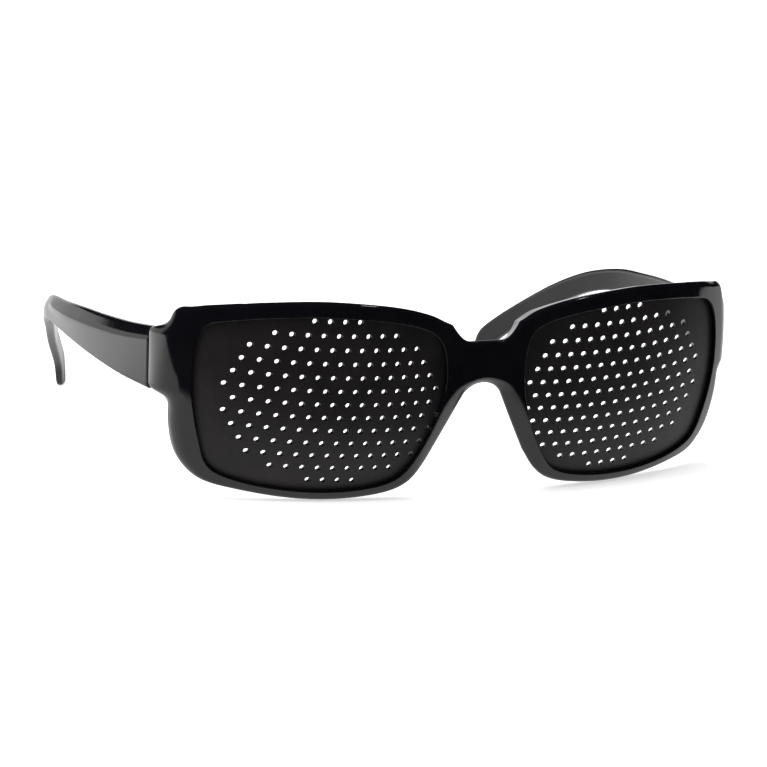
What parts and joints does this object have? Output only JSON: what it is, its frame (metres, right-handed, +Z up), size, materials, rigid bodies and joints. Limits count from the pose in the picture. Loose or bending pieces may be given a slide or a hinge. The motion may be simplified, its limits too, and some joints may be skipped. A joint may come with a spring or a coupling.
{
  "type": "pinhole glasses",
  "caption": "Wraparound glasses with perforated pinhole plates in moulded rims and two folding arms on screw hinges.",
  "frame": {"origin": "on the plane that the lower rims and the ear tips rest on, under the middle of the whole object with its arms open", "axes": "+X across the face to the wearer's left, +Y from the front back to the ears, +Z up"},
  "size_m": [0.1522, 0.134, 0.0463],
  "materials": {
    "frame_plastic": "gloss black moulded plastic",
    "plate_plastic": "satin black moulded plastic with a fine texture",
    "hinge_metal": "plain nickelled steel",
    "screw_metal": "bright turned steel"
  },
  "bodies": {
    "front": {"front_frame": "frame_plastic", "pinhole_plate_right": "plate_plastic", "pinhole_plate_left": "plate_plastic", "hinge_front_leaf_right": "hinge_metal", "hinge_front_leaf_left": "hinge_metal", "hinge_screw_right": "screw_metal", "hinge_screw_left": "screw_metal"},
    "right_arm": {"temple_arm_right": "frame_plastic", "hinge_arm_leaf_right": "hinge_metal"},
    "left_arm": {"temple_arm_left": "frame_plastic", "hinge_arm_leaf_left": "hinge_metal"}
  },
  "joints": [
    {"name": "right_arm_fold", "type": "hinge", "parent": "front", "child": "right_arm", "pos_m": [-0.0651, -0.04048, 0.03014], "axis": [0, 0, -1], "range_deg": [0, 82]},
    {"name": "left_arm_fold", "type": "hinge", "parent": "front", "child": "left_arm", "pos_m": [0.0651, -0.04048, 0.03014], "axis": [0, 0, 1], "range_deg": [0, 90]}
  ]
}
